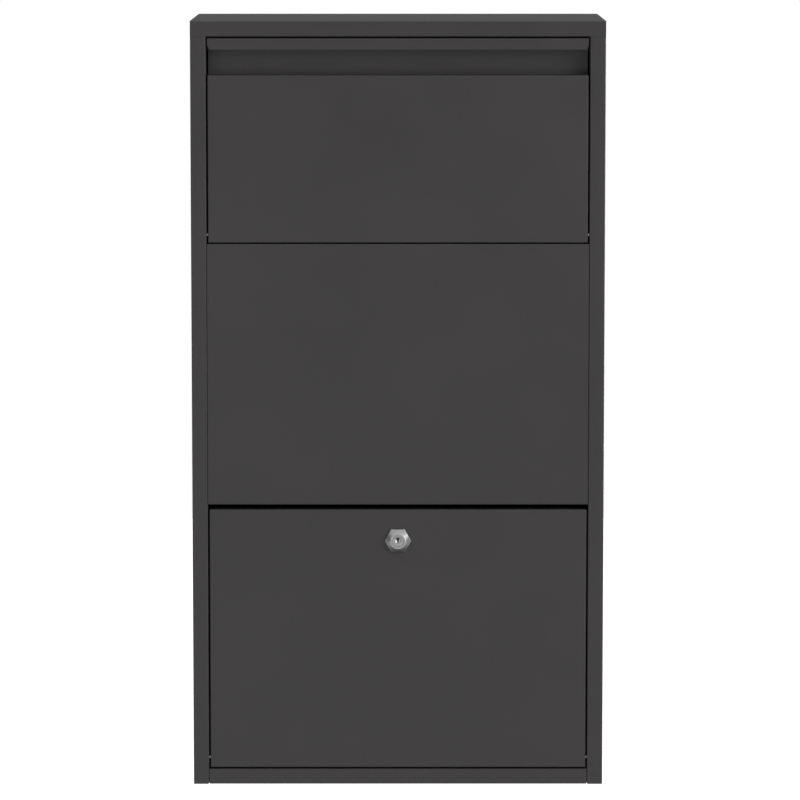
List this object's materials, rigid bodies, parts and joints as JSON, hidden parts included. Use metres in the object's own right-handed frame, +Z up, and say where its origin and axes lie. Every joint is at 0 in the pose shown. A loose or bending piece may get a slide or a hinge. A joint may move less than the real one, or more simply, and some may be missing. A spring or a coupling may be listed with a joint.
{
  "type": "wall mounted parcel mailbox",
  "caption": "Tall wall mounted steel mailbox with a pull-down drop flap and anti-theft tray above, a fixed middle panel and a lockable drop-down door below.",
  "frame": {"origin": "centre of the four wall-screw holes, on the rear face of the back panel (the wall plane)", "axes": "+Z up, the front faces -Y, +X to the right of someone facing the front"},
  "size_m": [0.41, 0.2165, 0.764],
  "materials": {
    "coat": "satin anthracite powder coat",
    "zinc": "zinc plated steel",
    "lock_metal": "satin nickel plated zinc casting",
    "brass": "stamped brass",
    "rubber": "moulded black rubber"
  },
  "bodies": {
    "cabinet": {"back_panel": "coat", "left_side_panel": "coat", "right_side_panel": "coat", "roof_panel": "coat", "floor_panel": "coat", "middle_front_panel": "coat", "door_stop_brackets": "coat", "door_bumpers": "rubber", "flap_bumpers": "rubber"},
    "flap": {"flap_panel": "coat", "flap_tray": "coat", "left_cheek": "coat", "right_cheek": "coat", "tray_rivets": "zinc", "flap_stop_studs": "zinc", "flap_stop_sleeves": "rubber", "flap_hinge_pins": "zinc", "flap_pin_clips": "zinc"},
    "door": {"door_panel": "coat", "door_hinge_pins": "zinc", "door_pin_clips": "zinc", "lock_housing": "lock_metal", "lock_washer": "zinc", "lock_nut": "zinc"},
    "lock": {"lock_plug": "lock_metal", "lock_wafers": "brass", "lock_cam": "zinc", "cam_washer": "zinc", "cam_screw": "zinc"}
  },
  "joints": [
    {"name": "flap_hinge", "type": "hinge", "parent": "cabinet", "child": "flap", "pos_m": [0, -0.2055, 0.1707], "axis": [1, 0, 0], "range_deg": [0, 50]},
    {"name": "door_hinge", "type": "hinge", "parent": "cabinet", "child": "door", "pos_m": [0, -0.2055, -0.3552], "axis": [1, 0, 0], "range_deg": [0, 137]},
    {"name": "lock_turn", "type": "hinge", "parent": "door", "child": "lock", "pos_m": [0, -0.2, -0.135], "axis": [0, 1, 0], "range_deg": [0, 180]}
  ]
}
